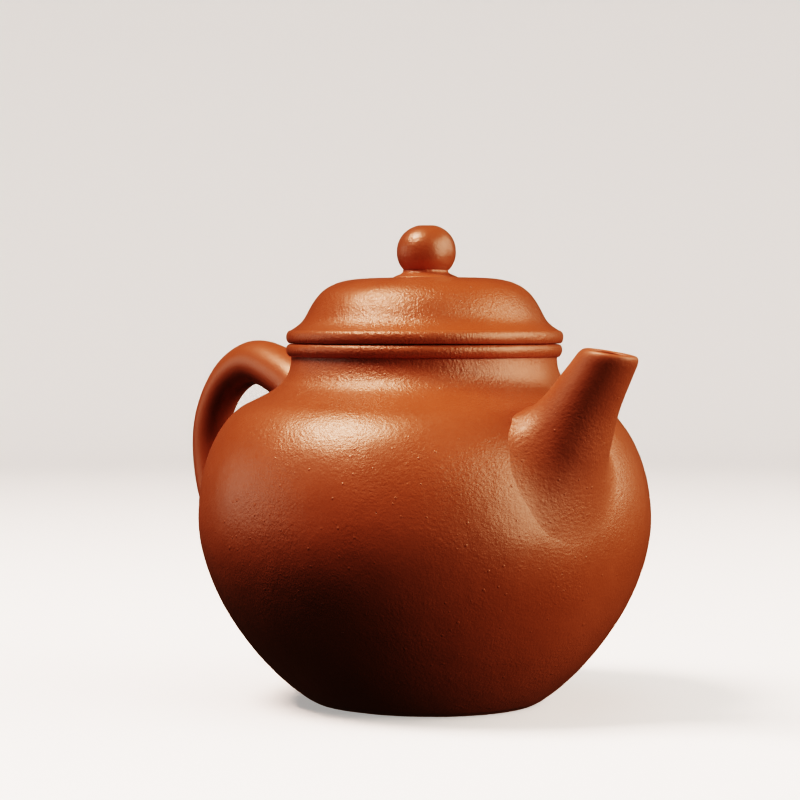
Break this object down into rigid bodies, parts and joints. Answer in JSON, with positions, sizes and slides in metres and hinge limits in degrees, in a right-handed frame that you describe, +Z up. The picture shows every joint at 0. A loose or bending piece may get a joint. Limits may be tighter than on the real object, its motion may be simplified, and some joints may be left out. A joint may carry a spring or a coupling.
{
  "type": "clay teapot",
  "caption": "Small round-bellied unglazed clay teapot with a short straight spout, an ear-shaped handle, and a loose domed lid with a round knob.",
  "frame": {"origin": "centre of the foot, on the axis of the pot, on the plane that the pot stands on", "axes": "+Z up along the pot's axis, +X from the handle towards the spout, +Y to the side"},
  "size_m": [0.1098, 0.072, 0.0759],
  "materials": {
    "body_clay": "satin, fired orange-red clay with a fine wrinkled grain",
    "lid_clay": "satin, fired orange-red clay",
    "band_clay": "satin, burnished edge",
    "knob_clay": "smooth, burnished",
    "spout_clay": "satin",
    "handle_clay": "satin, smoothed by hand",
    "foot_clay": "matt",
    "inner_clay": "matt, unburnished"
  },
  "bodies": {
    "pot": {"base_disc": "foot_clay", "body_wall": "body_clay", "shoulder_disc": "body_clay", "neck_ring": "body_clay", "mouth_band": "band_clay", "spout": "spout_clay", "ball_strainer": "inner_clay", "handle": "handle_clay"},
    "lid": {"lid_rim": "band_clay", "lid_flange": "inner_clay", "lid_dome": "lid_clay", "knob_collar": "knob_clay", "knob": "knob_clay"}
  },
  "joints": [
    {"name": "lid_lift", "type": "slide", "parent": "pot", "child": "lid", "axis": [0, 0, 1], "range_m": [0, 0.03]}
  ]
}
